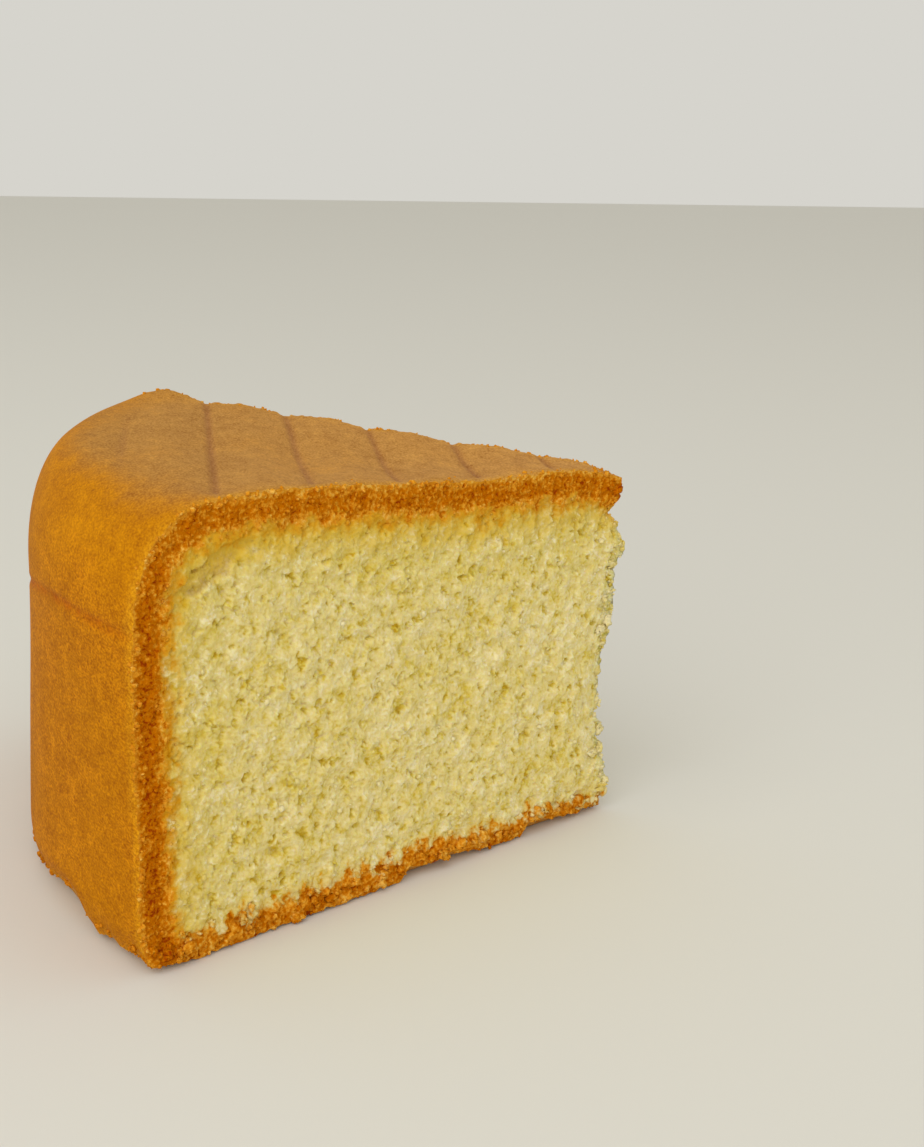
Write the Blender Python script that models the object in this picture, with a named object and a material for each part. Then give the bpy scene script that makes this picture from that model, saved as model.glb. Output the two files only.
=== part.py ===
"""A wedge cut from a round genoise sponge, about a sixth of the cake.

The browned crust is one skin: a dished top with shallow straight grooves, a round shoulder and an
upright side that ends in a torn base edge. Two knife cuts show the crumb and meet in the tip.
Lengths are in millimetres and become metres where the mesh is made. The origin is under the middle
of the wedge, +Z is up, the tip points along +X and the round side faces -X.
"""
import math

import bmesh
import bpy
from mathutils import Vector, noise
from mathutils.geometry import delaunay_2d_cdt

MM = 0.001
NODE_NAME = "genoise_wedge"

# Where the wedge stands: its tip is the middle of the whole cake
TIP_X = 51.6
TIP_Y = -0.6
WEDGE_ANGLE = math.radians(63.0)

# The round side, a little fuller away from the front cut and wider at its foot
SIDE_RADIUS = 102.7
RADIUS_GAIN = 0.9
SIDE_FLARE = 1.9
GAIN_SHARE = 0.45
BASE_TUCK = 2.0
TUCK_HEIGHT = 9.0

# The shoulder between top and side, wide at the front cut and tighter further round
SHOULDER_RUN = 17.0
TIGHTEST_RUN = 8.8
TIGHTEST_SHARE = 0.67
SHOULDER_DROP = 19.8
SHOULDER_POWER = 2.3
SHOULDER_LENGTH = 30.0

# The top: highest at the rim, dished towards the tip, which droops
RIM_HEIGHT = 72.15
DISH_DEPTH = 4.9
DISH_RUN = 65.0
DISH_RUN_GAIN = 27.0
TIP_DROOP = 2.9
TIP_RUN = 17.0

# A small lip of skin that stands up at the back cut's corner
LIP_HEIGHT = 1.3
LIP_RADIUS = 91.4
LIP_WIDTH = 4.5
LIP_REACH = 6.0

# The crust stands a little higher along the front cut
CUT_RISE = 0.8
CUT_RISE_REACH = 12.0
CUT_RISE_RUN = 26.0

# Straight grooves pressed into the top, and the pillows between them
GROOVE_TURN = math.radians(-2.3)
GROOVE_COUNT = 6
FIRST_GROOVE = 13.0
GROOVE_PITCH = 14.9
GROOVE_HALF_WIDTH = 1.3
GROOVE_DEPTH = 0.4
PILLOW_HEIGHT = 0.3
PILLOW_ROWS = (0.3, 0.5, 0.7)
GROOVE_FADE_START = 82.0
GROOVE_FADE_RUN = 12.0
MARKS_AT_CUT = 0.3
MARKS_CUT_RUN = 6.0

# A shallow crease where the side has shrunk back
CREASE_HEIGHT = 53.8
CREASE_WAVE = 0.5
CREASE_FALL = 5.0
CREASE_FALL_START = 0.2
CREASE_FALL_RUN = 0.4
CREASE_HALF_WIDTH = 1.3
CREASE_DEPTH = 0.3

# Unevenness of crust and crumb
CRUST_WOBBLE = 0.35
CRUST_WOBBLE_SIZE = 26.0
CRUMB_RELIEF = 0.5
CRUMB_CLUMP_SIZE = 7.5
CRUMB_GRAIN_SIZE = 2.5
CRUMB_EDGE_BLEND = 4.0
CUT_WAVE = 0.3
CUT_WAVE_SIZE = 17.0

# The tip edge is torn: height up the edge, and how far the crumb has gone from it there
TIP_TEAR = ((0.0, 0.4), (6.0, -0.7), (14.3, 1.2), (22.3, 1.9), (32.3, 1.4), (39.3, -0.4),
            (47.0, -0.4), (51.5, -2.3), (57.8, 0.8), (60.2, -0.4), (64.0, -1.0))
TIP_TEAR_REACH = 10.0

# The base edge of the front cut: distance from the tip, and height over the base
FRONT_BASE_EDGE = ((0.0, 1.3), (7.0, 0.8), (15.0, 2.1), (19.7, 2.4), (21.7, 0.2), (31.7, 0.9),
                   (39.0, 2.0), (43.8, 1.6), (48.4, 2.5), (50.6, 0.3), (60.0, 0.2), (68.0, 0.5),
                   (84.0, 0.3), (92.0, 0.2), (96.0, 0.7), (101.0, 1.4))

# The base edge of the side near it: turn, and height over the base. Further round it is only chipped
SIDE_BASE_EDGE = ((0.0, 1.4), (0.03, 2.2), (0.08, 1.5), (0.1, 2.3), (0.14, 0.9), (0.17, 2.0),
                  (0.19, 4.6), (0.22, 5.6), (0.27, 4.5), (0.34, 2.4), (0.42, 0.0))
CHIP_HEIGHT = 1.7
MEAN_CHIP = 0.5
LEAST_CHIP = 0.15
CHIP_SIZE = 6.5
CHIP_REACH = 9.0
CHIP_START = 0.26
CHIP_RUN = 0.16
BASE_RIM_WIDTH = 3.0

# The base is flat between three corners, each a radius and a turn, and curls up a little round them
REST_CORNERS = ((8.0, 0.5), (95.0, 0.05), (95.0, 0.95))
REST_CURL = 0.3
REST_RUN = 3.0

# Where each soft noise starts, so that no two look alike
CHIP_SEED = 3.0
WOBBLE_SEED = 7.0
WAVE_SEED = 11.0
CLUMP_SEED = 17.0
GRAIN_SEED = 23.0
BACK_CUT_SEED = 30.0
NUDGE_SEED = 5.0

# Spacing of the mesh
EDGE_STEP = 3.1
CRUMB_STEP = 3.2
CRUST_STEP = 3.6
BASE_STEP = 12.0
NUDGE_SHARE = 0.3
CLOSEST_ON_EDGE = 0.45
CLOSEST_ON_CRUST = 1.1
CRUST_EDGE_SHARE = 0.45
CRUMB_EDGE_SHARE = 0.5

# Surfaces
CRUST_COLOUR = (0.479, 0.178, 0.022, 1.0)
CRUST_ROUGHNESS = 0.55
CRUMB_COLOUR = (0.730, 0.620, 0.270, 1.0)
CRUMB_ROUGHNESS = 0.9
SHARP_ANGLE = math.radians(40.0)

FRONT = 0.0
BACK = 1.0
TIP = Vector((TIP_X, TIP_Y, 0.0))


def smooth(share):
    """A soft step from 0 to 1."""
    share = min(max(share, 0.0), 1.0)
    return share * share * (3.0 - 2.0 * share)


def read_curve(points, position):
    """The height of a line through points at a position."""
    for (start, low), (end, high) in zip(points, points[1:]):
        if position <= end:
            share = (position - start) / (end - start)
            return low + (high - low) * max(share, 0.0)
    return points[-1][1]


def rough(x, y, z, size, seed):
    """Soft noise of about one, with bumps of the given size."""
    return noise.noise(Vector((x / size + seed, y / size, z / size)))


def azimuth(turn):
    """Turn 0 is the front cut and turn 1 the back cut."""
    return math.pi + (0.5 - turn) * WEDGE_ANGLE


def outward(turn):
    angle = azimuth(turn)
    return Vector((math.cos(angle), math.sin(angle), 0.0))


def shoulder_run(turn):
    return SHOULDER_RUN + (TIGHTEST_RUN - SHOULDER_RUN) * smooth(turn / TIGHTEST_SHARE)


def rim_radius(turn):
    """Where the top ends and the shoulder begins."""
    return SIDE_RADIUS + RADIUS_GAIN * smooth(turn / GAIN_SHARE) - shoulder_run(turn)


def crust_length(turn):
    """Length of the crust from the tip over the shoulder to the base."""
    return rim_radius(turn) + SHOULDER_LENGTH + RIM_HEIGHT - SHOULDER_DROP


def edge_rise(radius, turn):
    """How high the crust stands along the front cut, and as a lip at the back cut's corner."""
    to_front = turn * WEDGE_ANGLE * radius
    rise = CUT_RISE * smooth(radius / CUT_RISE_RUN) * math.exp(-(to_front / CUT_RISE_REACH) ** 2)
    to_back = (1.0 - turn) * WEDGE_ANGLE * radius
    lip = LIP_HEIGHT * math.exp(-((radius - LIP_RADIUS) / LIP_WIDTH) ** 2 - (to_back / LIP_REACH) ** 2)
    return rise + lip


def top_height(radius, turn):
    dish_run = DISH_RUN + DISH_RUN_GAIN * smooth(turn)
    dish = DISH_DEPTH * smooth((rim_radius(turn) - radius) / dish_run)
    droop = TIP_DROOP * max(1.0 - radius / TIP_RUN, 0.0) ** 2
    return RIM_HEIGHT + edge_rise(radius, turn) - dish - droop


def crust_profile(length, turn):
    """Radius and height at a length along the crust, from the tip to the base."""
    rim = rim_radius(turn)
    foot = RIM_HEIGHT - SHOULDER_DROP
    if length <= rim:
        return length, top_height(length, turn)
    if length <= rim + SHOULDER_LENGTH:
        angle = (length - rim) / SHOULDER_LENGTH * math.pi / 2
        power = 2.0 / SHOULDER_POWER
        radius = rim + shoulder_run(turn) * math.sin(angle) ** power
        return radius, foot + (SHOULDER_DROP + edge_rise(radius, turn)) * math.cos(angle) ** power
    height = max(foot - (length - rim - SHOULDER_LENGTH), 0.0)
    flare = SIDE_FLARE * smooth(turn / GAIN_SHARE) * (1.0 - height / foot)
    tuck = BASE_TUCK * max(1.0 - height / TUCK_HEIGHT, 0.0) ** 2
    return rim + shoulder_run(turn) + flare - tuck, height


def groove_distance(x, y):
    """Distance from the tip across the grooves."""
    return (TIP_X - x) * math.cos(GROOVE_TURN) + (TIP_Y - y) * math.sin(GROOVE_TURN)


def groove_marks(x, y, radius, turn):
    """Height of the top against the smooth dish, from grooves and pillows."""
    distance = groove_distance(x, y) - FIRST_GROOVE
    nearest = min(max(round(distance / GROOVE_PITCH), 0), GROOVE_COUNT - 1)
    off = abs(distance - nearest * GROOVE_PITCH)
    groove = math.cos(math.pi / 2 * min(off / GROOVE_HALF_WIDTH, 1.0)) ** 2
    pillow = -math.cos(2 * math.pi * distance / GROOVE_PITCH)
    fade = 1.0 - smooth((radius - GROOVE_FADE_START) / GROOVE_FADE_RUN)
    fade *= MARKS_AT_CUT + (1.0 - MARKS_AT_CUT) * smooth(turn * WEDGE_ANGLE * radius / MARKS_CUT_RUN)
    return fade * (PILLOW_HEIGHT * pillow - GROOVE_DEPTH * groove)


def crease_height(turn):
    fall = CREASE_FALL * smooth((turn - CREASE_FALL_START) / CREASE_FALL_RUN)
    return CREASE_HEIGHT + CREASE_WAVE * math.sin(5.0 * turn + 1.0) - fall


def base_edge_height(x, y, turn, radius):
    """Height of the torn base edge over the base."""
    if turn == FRONT:
        return read_curve(FRONT_BASE_EDGE, radius)
    chip = CHIP_HEIGHT * (MEAN_CHIP + rough(x, y, 0.0, CHIP_SIZE, CHIP_SEED))
    return read_curve(SIDE_BASE_EDGE, turn) + max(chip, LEAST_CHIP) * smooth((turn - CHIP_START) / CHIP_RUN)


def lift_at_base(point, turn, radius):
    """Raises what is near the base by the height of its torn edge."""
    near = max(1.0 - point.z / CHIP_REACH, 0.0)
    if near > 0.0:
        point.z += near * base_edge_height(point.x, point.y, turn, radius)
    return point


def tip_shift(radius, height):
    """How far the torn tip edge pulls its neighbourhood back."""
    near = max(1.0 - radius / TIP_TEAR_REACH, 0.0) ** 2
    return Vector((-near * read_curve(TIP_TEAR, height), 0.0, 0.0))


def crust_point(length, turn):
    """A point of the finished crust."""
    radius, height = crust_profile(length, turn)
    out = outward(turn)
    point = TIP + out * radius + Vector((0.0, 0.0, height))
    wobble = CRUST_WOBBLE * rough(*point, CRUST_WOBBLE_SIZE, WOBBLE_SEED)
    side_share = smooth((length - rim_radius(turn)) / SHOULDER_LENGTH)
    normal = out * side_share + Vector((0.0, 0.0, 1.0 - side_share))
    marks = (1.0 - side_share) * groove_marks(point.x, point.y, radius, turn)
    off_crease = min(abs(height - crease_height(turn)) / CREASE_HALF_WIDTH, 1.0)
    crease = CREASE_DEPTH * math.cos(math.pi / 2 * off_crease) ** 2 if side_share > 0.5 else 0.0
    above_base = min(height / CHIP_REACH, 1.0)
    point += normal * (wobble * above_base + marks - crease) + tip_shift(radius, height)
    return lift_at_base(point, turn, radius)


def cut_normal(turn):
    """Away from the sponge, square to a cut."""
    angle = azimuth(turn) + (math.pi / 2 if turn == FRONT else -math.pi / 2)
    return Vector((math.cos(angle), math.sin(angle), 0.0))


def cut_wave(radius, height, turn):
    """The knife's slow wander, with none at the tip edge, where the cuts meet."""
    wave = CUT_WAVE * rough(radius, BACK_CUT_SEED * turn, height, CUT_WAVE_SIZE, WAVE_SEED)
    return cut_normal(turn) * wave * smooth(radius / TIP_TEAR_REACH)


def cut_edge_point(length, turn):
    """A point on the edge between crust and cut."""
    return crust_point(length, turn) + cut_wave(*crust_profile(length, turn), turn)


def cut_point(radius, height, turn, to_edge):
    """A point of the crumb; the relief grows with the distance to the edge."""
    clump = rough(radius, BACK_CUT_SEED * turn, height, CRUMB_CLUMP_SIZE, CLUMP_SEED)
    grain = rough(radius, BACK_CUT_SEED * turn, height, CRUMB_GRAIN_SIZE, GRAIN_SEED)
    relief = CRUMB_RELIEF * (clump + grain) * smooth(to_edge / CRUMB_EDGE_BLEND)
    point = TIP + outward(turn) * radius + Vector((0.0, 0.0, height))
    point += cut_wave(radius, height, turn) + cut_normal(turn) * relief + tip_shift(radius, height)
    return lift_at_base(point, turn, radius)


def tip_point(height):
    """A point of the tip edge."""
    point = TIP + Vector((0.0, 0.0, height)) + tip_shift(0.0, height)
    return lift_at_base(point, FRONT, 0.0)


def steps(length, step):
    """Evenly spaced shares from 0 to 1 with about the given step."""
    count = max(round(length / step), 1)
    return [index / count for index in range(count + 1)]


def crust_lengths(turn):
    """Lengths along a cut's upper edge, with each groove and the crease met."""
    rim, whole = rim_radius(turn), crust_length(turn)
    slant = math.cos(azimuth(turn) - math.pi - GROOVE_TURN)
    marks = [0.0, rim, whole]
    for index in range(GROOVE_COUNT):
        middle = (FIRST_GROOVE + index * GROOVE_PITCH) / slant
        if middle < GROOVE_FADE_START + GROOVE_FADE_RUN / 2:
            marks += [middle - GROOVE_HALF_WIDTH, middle, middle + GROOVE_HALF_WIDTH]
    crease = whole - crease_height(turn)
    marks += [crease - CREASE_HALF_WIDTH, crease, crease + CREASE_HALF_WIDTH]
    marks = sorted(marks)
    lengths = [marks[0]]
    for start, end in zip(marks, marks[1:]):
        if end - start > CLOSEST_ON_EDGE:
            lengths += [start + (end - start) * share for share in steps(end - start, EDGE_STEP)[1:]]
    return lengths


def base_radius(turn):
    return crust_profile(crust_length(turn), turn)[0]


def distance_to_outline(position, outline):
    """Shortest distance from a position to the sides of a flat outline."""
    best = math.inf
    for start, end in zip(outline, outline[1:] + outline[:1]):
        side = end - start
        share = min(max((position - start).dot(side) / side.length_squared, 0.0), 1.0)
        best = min(best, (position - start - side * share).length)
    return best


def is_inside(position, outline):
    """Whether a flat outline holds a position."""
    inside = False
    for start, end in zip(outline, outline[1:] + outline[:1]):
        if (start.y > position.y) != (end.y > position.y):
            crossing = start.x + (position.y - start.y) / (end.y - start.y) * (end.x - start.x)
            if position.x < crossing:
                inside = not inside
    return inside


def scatter(outline, step, margin):
    """Staggered rows of points inside a flat outline, each a little off its place."""
    low_x, high_x = min(p.x for p in outline), max(p.x for p in outline)
    low_y, high_y = min(p.y for p in outline), max(p.y for p in outline)
    row_step = step * math.sin(math.pi / 3)
    points = []
    for row in range(int((high_y - low_y) / row_step) + 1):
        for column in range(int((high_x - low_x) / step) + 2):
            x = low_x + (column + 0.5 * (row % 2)) * step
            y = low_y + row * row_step
            nudge = noise.noise_vector(Vector((x, y, NUDGE_SEED)) / step) * NUDGE_SHARE * step
            position = Vector((x + nudge.x, y + nudge.y))
            if is_inside(position, outline) and distance_to_outline(position, outline) > margin:
                points.append(position)
    return points


def thin_out(points, kept, closest):
    """The points that keep clear of those kept already and of each other."""
    result = []
    for point in points:
        if all((point - other).length > closest for other in kept):
            if all((point - other).length > closest for other in result):
                result.append(point)
    return result


def add_patch(bm, flat, outline_count, placed, material_index):
    """Fills an outline and its inner points with triangles, and puts each point in its place."""
    sides = [(index, (index + 1) % outline_count) for index in range(outline_count)]
    flat_verts, _, faces, sources, _, _ = delaunay_2d_cdt(flat, sides, [], 1, 1e-6)
    verts = [bm.verts.new(placed[sources[index][0]] * MM) for index in range(len(flat_verts))]
    for face in faces:
        bm.faces.new([verts[index] for index in face]).material_index = material_index


def fan_place(length, turn):
    """The crust unrolled into a flat fan."""
    angle = azimuth(turn)
    return Vector((length * math.cos(angle), length * math.sin(angle)))


def groove_rows():
    """Fan positions along both lips and the floor of each groove, and between the grooves."""
    places = []
    offsets = [-GROOVE_HALF_WIDTH, 0.0, GROOVE_HALF_WIDTH] + [share * GROOVE_PITCH for share in PILLOW_ROWS]
    reach = SIDE_RADIUS * math.sin(WEDGE_ANGLE / 2)
    across = Vector((math.cos(GROOVE_TURN), math.sin(GROOVE_TURN)))
    along = Vector((-across.y, across.x))
    for index in range(-1, GROOVE_COUNT):
        for number, offset in enumerate(offsets):
            distance = FIRST_GROOVE + index * GROOVE_PITCH + offset
            for share in steps(2 * reach, CRUST_STEP):
                slide = (2 * share - 1) * reach + (0.5 * CRUST_STEP if number % 2 else 0.0)
                places.append(along * slide - across * distance)
    return places


def add_crust(bm):
    """Top, shoulder and side as one skin."""
    front = [(length, FRONT) for length in crust_lengths(FRONT)]
    back = [(length, BACK) for length in crust_lengths(BACK)]
    foot = [(crust_length(turn), turn) for turn in steps(SIDE_RADIUS * WEDGE_ANGLE, EDGE_STEP)[1:-1]]
    rim = front[1:] + foot + back[:0:-1]
    outline = [fan_place(*place) for place in [(0.0, FRONT)] + rim]
    placed = [tip_point(top_height(0.0, FRONT))] + [
        cut_edge_point(length, turn) if turn in (FRONT, BACK) else crust_point(length, turn)
        for length, turn in rim
    ]

    inner = []
    for position in groove_rows():
        turn = turn_of(position)
        if 0.0 < turn < 1.0 and position.length < rim_radius(turn) - 1.0:
            inner.append(position)
    for number, share in enumerate(steps(SHOULDER_LENGTH + RIM_HEIGHT - SHOULDER_DROP, CRUST_STEP)[:-1]):
        inner += column_row(share, number % 2)
    for offset in (-CREASE_HALF_WIDTH, 0.0, CREASE_HALF_WIDTH):
        inner = crease_row(offset) + inner
    inner = [p for p in inner if distance_to_outline(p, outline) > CRUST_EDGE_SHARE * CRUST_STEP]
    inner = thin_out(inner, outline, CLOSEST_ON_CRUST)

    places = [(position.length, turn_of(position)) for position in inner]
    flat = outline + inner
    add_patch(bm, flat, len(outline), placed + [crust_point(*place) for place in places], 0)


def turn_of(position):
    """The turn of a fan position."""
    angle = math.atan2(-position.y, -position.x)
    return 0.5 - angle / WEDGE_ANGLE


def column_row(share, odd):
    """A row of fan positions round the shoulder or the side."""
    turns = steps(SIDE_RADIUS * WEDGE_ANGLE, CRUST_STEP)
    shift = 0.5 / (len(turns) - 1) if odd else 0.0
    row = []
    for turn in turns:
        turn = turn + shift
        if 0.0 < turn < 1.0:
            rim, whole = rim_radius(turn), crust_length(turn)
            row.append(fan_place(rim + (whole - rim) * share, turn))
    return row


def crease_row(offset):
    """A row of fan positions along the crease."""
    row = []
    for turn in steps(SIDE_RADIUS * WEDGE_ANGLE, CRUST_STEP)[1:-1]:
        row.append(fan_place(crust_length(turn) - crease_height(turn) + offset, turn))
    return row


def add_cut(bm, turn):
    """One cut face, with its clumps of crumb."""
    lengths = crust_lengths(turn)
    tip_height = top_height(0.0, turn)
    radius = base_radius(turn)
    tip_heights = [share * tip_height for share in steps(tip_height, EDGE_STEP)]
    base_shares = steps(radius, EDGE_STEP)[1:-1]
    outline = [Vector((0.0, height)) for height in tip_heights]
    placed = [tip_point(height) for height in tip_heights]
    outline += [Vector(crust_profile(length, turn)) for length in lengths[1:]]
    placed += [cut_edge_point(length, turn) for length in lengths[1:]]
    for share in reversed(base_shares):
        outline.append(Vector((share * radius, 0.0)))
        placed.append(cut_point(share * radius, 0.0, turn, 0.0))
    inner = scatter(outline, CRUMB_STEP, CRUMB_EDGE_SHARE * CRUMB_STEP)
    placed += [cut_point(p.x, p.y, turn, distance_to_outline(p, outline)) for p in inner]
    add_patch(bm, outline + inner, len(outline), placed, 1)


def base_curl(position, corners):
    """How far the base has curled up, with none between its corners."""
    if is_inside(position, corners):
        return 0.0
    return REST_CURL * smooth(distance_to_outline(position, corners) / REST_RUN)


def add_base(bm):
    """The base inside its torn edge."""
    placed = [tip_point(0.0)]
    for share in steps(base_radius(FRONT), EDGE_STEP)[1:-1]:
        placed.append(cut_point(share * base_radius(FRONT), 0.0, FRONT, 0.0))
    for turn in steps(SIDE_RADIUS * WEDGE_ANGLE, EDGE_STEP):
        point = cut_edge_point if turn in (FRONT, BACK) else crust_point
        placed.append(point(crust_length(turn), turn))
    for share in reversed(steps(base_radius(BACK), EDGE_STEP)[1:-1]):
        placed.append(cut_point(share * base_radius(BACK), 0.0, BACK, 0.0))
    outline = [point.xy.copy() for point in placed]
    corners = [(TIP + outward(turn) * radius).xy for radius, turn in REST_CORNERS]
    inner = scatter(outline, BASE_STEP, BASE_RIM_WIDTH + 1.0)
    inner += scatter_ring(outline, BASE_RIM_WIDTH)
    inner = corners + thin_out(inner, corners, 0.5 * EDGE_STEP)
    placed += [Vector((p.x, p.y, base_curl(p, corners))) for p in inner]
    add_patch(bm, outline + inner, len(outline), placed, 0)


def scatter_ring(outline, width):
    """Points inside an outline that stand a given width from it."""
    middle = sum(outline, Vector((0.0, 0.0))) / len(outline)
    ring = []
    for before, here, after in zip(outline[-1:] + outline[:-1], outline, outline[1:] + outline[:1]):
        side = (after - before).normalized()
        inward = Vector((-side.y, side.x))
        if inward.dot(middle - here) < 0.0:
            inward = -inward
        position = here + inward * width
        if is_inside(position, outline) and distance_to_outline(position, outline) > 0.8 * width:
            ring.append(position)
    return thin_out(ring, [], 0.5 * EDGE_STEP)


def surface(name, colour, roughness):
    """A plain finish."""
    material = bpy.data.materials.new(name)
    material.use_nodes = True
    shader = material.node_tree.nodes["Principled BSDF"]
    shader.inputs["Base Color"].default_value = colour
    shader.inputs["Roughness"].default_value = roughness
    shader.inputs["Metallic"].default_value = 0.0
    return material


def make_wedge():
    """The wedge as one closed body."""
    bm = bmesh.new()
    add_crust(bm)
    add_cut(bm, FRONT)
    add_cut(bm, BACK)
    add_base(bm)
    bmesh.ops.remove_doubles(bm, verts=bm.verts, dist=1e-3 * MM)
    bmesh.ops.recalc_face_normals(bm, faces=bm.faces)
    mesh = bpy.data.meshes.new(NODE_NAME)
    bm.to_mesh(mesh)
    bm.free()
    mesh.materials.append(surface("browned crust", CRUST_COLOUR, CRUST_ROUGHNESS))
    mesh.materials.append(surface("pale crumb", CRUMB_COLOUR, CRUMB_ROUGHNESS))
    mesh.shade_smooth()
    mesh.set_sharp_from_angle(angle=SHARP_ANGLE)
    return bpy.data.objects.new(NODE_NAME, mesh)


def main():
    for old in list(bpy.data.objects):
        bpy.data.objects.remove(old)
    collection = bpy.data.collections.new("genoise_sponge")
    bpy.context.scene.collection.children.link(collection)
    collection.objects.link(make_wedge())


main()
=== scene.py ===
# %% [markdown]
# # A wedge of genoise sponge
#
# Genoise is a plain sponge cake: whole eggs whipped to a foam, with flour folded in. It has a thin
# browned skin all round and a pale open crumb inside. This lesson dresses one wedge of a round one.
# A rigid solid of the wedge is given. Its form and size are right but its faces are few, so every
# surface is made again here from the same measures, fine enough to show single crumbs.

# %% Load the solid that everything is fitted to
import math

import bmesh
import bpy
import numpy as np
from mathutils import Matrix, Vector, kdtree, noise
from mathutils.geometry import delaunay_2d_cdt


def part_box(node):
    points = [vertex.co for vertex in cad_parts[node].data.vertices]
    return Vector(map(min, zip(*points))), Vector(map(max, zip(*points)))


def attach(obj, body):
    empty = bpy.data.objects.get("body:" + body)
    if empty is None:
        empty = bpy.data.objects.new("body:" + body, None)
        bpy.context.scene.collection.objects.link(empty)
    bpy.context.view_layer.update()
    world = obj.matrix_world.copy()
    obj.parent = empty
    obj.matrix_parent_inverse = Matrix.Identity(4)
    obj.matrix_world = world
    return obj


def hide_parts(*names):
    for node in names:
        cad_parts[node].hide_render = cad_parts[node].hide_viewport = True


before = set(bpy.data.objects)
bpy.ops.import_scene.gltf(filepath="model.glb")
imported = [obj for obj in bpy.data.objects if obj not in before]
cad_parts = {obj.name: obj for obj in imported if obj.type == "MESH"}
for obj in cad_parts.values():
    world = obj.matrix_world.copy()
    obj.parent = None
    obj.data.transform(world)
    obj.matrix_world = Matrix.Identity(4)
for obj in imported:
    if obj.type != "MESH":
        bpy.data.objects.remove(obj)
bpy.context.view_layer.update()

MM = 0.001
BODY = "root"
NODE = "genoise_wedge"
low, high = (np.array(corner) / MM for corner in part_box(NODE))
print("the solid is", np.round(high - low, 1), "mm")

# %% [markdown]
# ## The camera first
#
# A picture taken close to a cake shows it in strong perspective, so the camera comes before any
# surface. Its place, the point it aims at, its roll and its focal length say all there is to say.
# The image is 924 by 1147, and Blender lays the 36 mm of its sensor along the longer side.

# %% Camera
CAMERA_PLACE = Vector((-37.75, -292.27, 129.37)) * MM
CAMERA_AIM = Vector((36.41, 61.02, 30.0)) * MM
CAMERA_ROLL = 0.0246
FOCAL_LENGTH = 53.82

scene = bpy.context.scene
camera = bpy.data.objects.new("camera", bpy.data.cameras.new("camera"))
scene.collection.objects.link(camera)
scene.camera = camera
camera.location = CAMERA_PLACE
camera.rotation_euler = (CAMERA_AIM - CAMERA_PLACE).to_track_quat("-Z", "Y").to_euler()
camera.rotation_euler.rotate_axis("Z", CAMERA_ROLL)
camera.data.lens = FOCAL_LENGTH
camera.data.clip_start = 10 * MM
print("the camera aims", round((CAMERA_AIM - CAMERA_PLACE).length / MM), "mm ahead")

# %% [markdown]
# ## The measures of the cake
#
# A cake is round, so its wedge is told in round terms: a radius from the tip, a height, and a turn
# that runs from 0 at the front cut to 1 at the back cut. The crust is one line that runs out from
# the tip, rolls over the shoulder and drops to the base. All these lengths are in millimetres.

# %% Measures of the wedge
TIP = np.array((51.6, -0.6, 0.0))
WEDGE_ANGLE = math.radians(63.0)
FRONT = 0.0
BACK = 1.0

SIDE_RADIUS = 102.7
RADIUS_GAIN = 0.9
SIDE_FLARE = 1.9
GAIN_SHARE = 0.45
BASE_TUCK = 2.0
TUCK_HEIGHT = 9.0

SHOULDER_RUN = 17.0
TIGHTEST_RUN = 8.8
TIGHTEST_SHARE = 0.67
SHOULDER_DROP = 19.8
SHOULDER_POWER = 2.3
SHOULDER_LENGTH = 30.0

RIM_HEIGHT = 72.15
DISH_DEPTH = 4.9
DISH_RUN = 65.0
DISH_RUN_GAIN = 27.0
TIP_DROOP = 2.9
TIP_RUN = 17.0
LIP_HEIGHT = 1.3
LIP_RADIUS = 91.4
LIP_WIDTH = 4.5
LIP_REACH = 6.0
CUT_RISE = 0.8
CUT_RISE_REACH = 12.0
CUT_RISE_RUN = 26.0


def smooth(share):
    """A soft step from 0 to 1."""
    share = np.clip(share, 0.0, 1.0)
    return share * share * (3.0 - 2.0 * share)


def outward(turn):
    """The way from the tip to the round side."""
    angle = math.pi + (0.5 - np.asarray(turn, dtype=float)) * WEDGE_ANGLE
    return np.stack([np.cos(angle), np.sin(angle), 0.0 * angle], axis=-1)


def shoulder_run(turn):
    return SHOULDER_RUN + (TIGHTEST_RUN - SHOULDER_RUN) * smooth(turn / TIGHTEST_SHARE)


def rim_radius(turn):
    return SIDE_RADIUS + RADIUS_GAIN * smooth(turn / GAIN_SHARE) - shoulder_run(turn)


def crust_length(turn):
    """Length of the crust from the tip over the shoulder to the base."""
    return rim_radius(turn) + SHOULDER_LENGTH + RIM_HEIGHT - SHOULDER_DROP


def edge_rise(radius, turn):
    """How high the crust stands along the front cut, and as a lip at the back cut's corner."""
    to_front = turn * WEDGE_ANGLE * radius
    rise = CUT_RISE * smooth(radius / CUT_RISE_RUN) * np.exp(-(to_front / CUT_RISE_REACH) ** 2)
    to_back = (1.0 - turn) * WEDGE_ANGLE * radius
    lip = LIP_HEIGHT * np.exp(-((radius - LIP_RADIUS) / LIP_WIDTH) ** 2 - (to_back / LIP_REACH) ** 2)
    return rise + lip


def top_height(radius, turn):
    dish_run = DISH_RUN + DISH_RUN_GAIN * smooth(turn)
    dish = DISH_DEPTH * smooth((rim_radius(turn) - radius) / dish_run)
    droop = TIP_DROOP * np.maximum(1.0 - radius / TIP_RUN, 0.0) ** 2
    return RIM_HEIGHT + edge_rise(radius, turn) - dish - droop


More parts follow.
